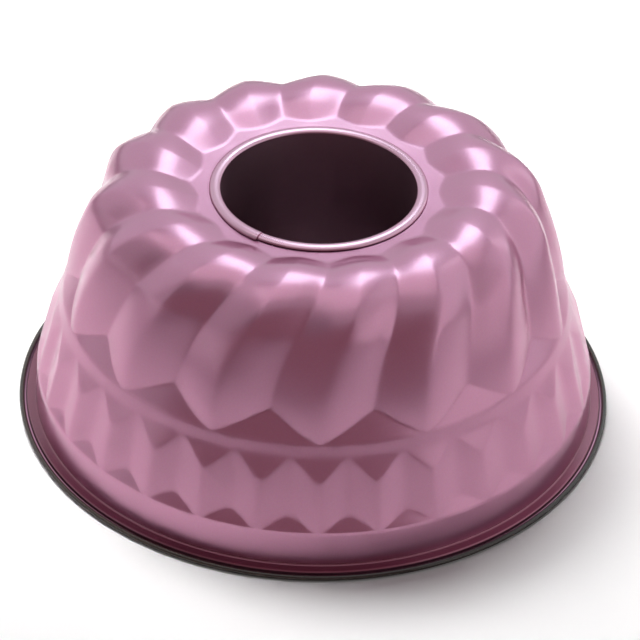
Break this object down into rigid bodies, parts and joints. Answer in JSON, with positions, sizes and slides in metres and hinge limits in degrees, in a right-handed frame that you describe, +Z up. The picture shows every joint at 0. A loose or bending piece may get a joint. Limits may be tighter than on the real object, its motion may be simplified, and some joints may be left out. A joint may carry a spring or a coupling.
{
  "type": "fluted tube pan",
  "caption": "Round sheet-steel cake pan with swirled flutes, a faceted band, a rolled rim and an open conical centre tube, for baking ring cakes.",
  "frame": {"origin": "centre of the rim plane, on which the pan stands upside down", "axes": "+Z up along the tube's axis from the open side to the crown; -Y towards the viewer of the picture, with one flute ridge over it at the foot of the flutes"},
  "size_m": [0.22, 0.22, 0.0964],
  "materials": {
    "shell_lacquer": "satin-gloss metallic mauve lacquer outside, dark non-stick coat on the food side and over the rolled rim",
    "tube_lacquer": "satin-gloss metallic mauve lacquer on the bore side and bead, dark non-stick coat on the food side"
  },
  "bodies": {
    "root": {"fluted_shell": "shell_lacquer", "centre_tube": "tube_lacquer"}
  },
  "joints": []
}
